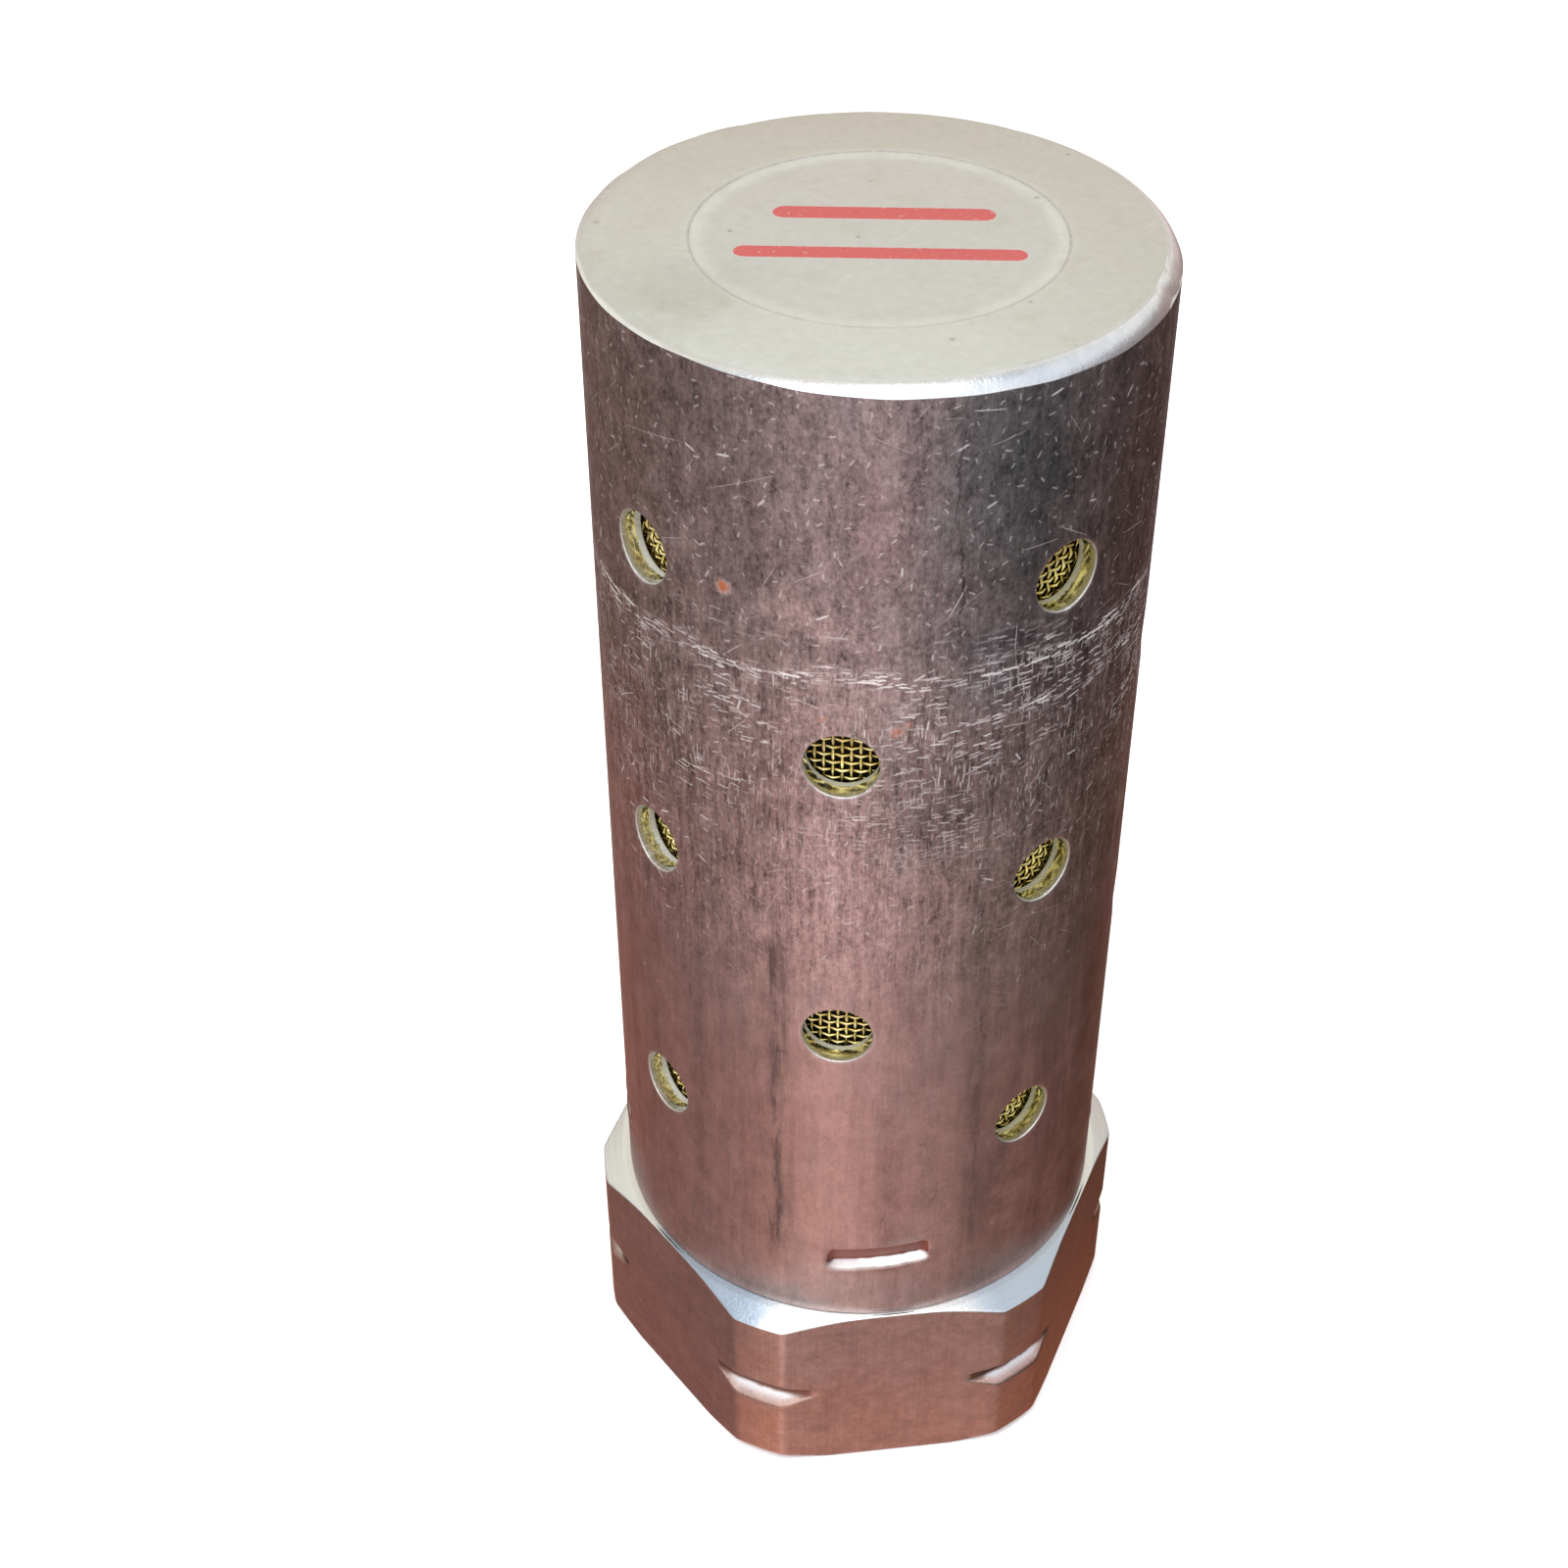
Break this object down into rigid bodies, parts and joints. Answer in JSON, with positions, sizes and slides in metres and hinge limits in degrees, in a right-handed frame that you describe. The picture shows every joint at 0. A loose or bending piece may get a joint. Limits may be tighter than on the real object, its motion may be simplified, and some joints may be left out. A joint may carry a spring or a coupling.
{
  "type": "pneumatic muffler",
  "caption": "Pneumatic exhaust muffler: a perforated aluminium can with a closed end, brass wire cloth around a diffuser core, staked to a hexagon adapter with a female pipe port.",
  "frame": {"origin": "centre of the hexagon's bottom face, which is the face around the port", "axes": "+Z from the port towards the closed end, along the muffler's axis. One flat of the hexagon faces -Y, and +X runs through a corner of the hexagon"},
  "size_m": [0.0418, 0.038, 0.0978],
  "materials": {
    "base_aluminium": "turned and as-drawn bar, lightly scuffed",
    "can_aluminium": "drawn, fine lengthwise streaks, scratched and dulled by handling",
    "brass_cloth": "bright woven wire",
    "brass_wire": "drawn",
    "felt": "dark needled felt",
    "plated_steel": "zinc plated",
    "spring_steel": "oiled spring steel",
    "gasket": "fibre sheet, matt"
  },
  "bodies": {
    "root": {"hex_base": "base_aluminium", "muffler_shell": "can_aluminium", "outer_screen": "brass_cloth", "packing_sleeve": "felt", "inner_screen": "brass_cloth", "screen_tie_wires": "brass_wire", "diffuser_tube": "plated_steel", "diffuser_collar": "brass_wire", "diffuser_cap": "plated_steel", "foot_gasket": "gasket", "lower_screen_ring": "plated_steel", "upper_screen_ring": "plated_steel", "wave_washer": "spring_steel"}
  },
  "joints": []
}
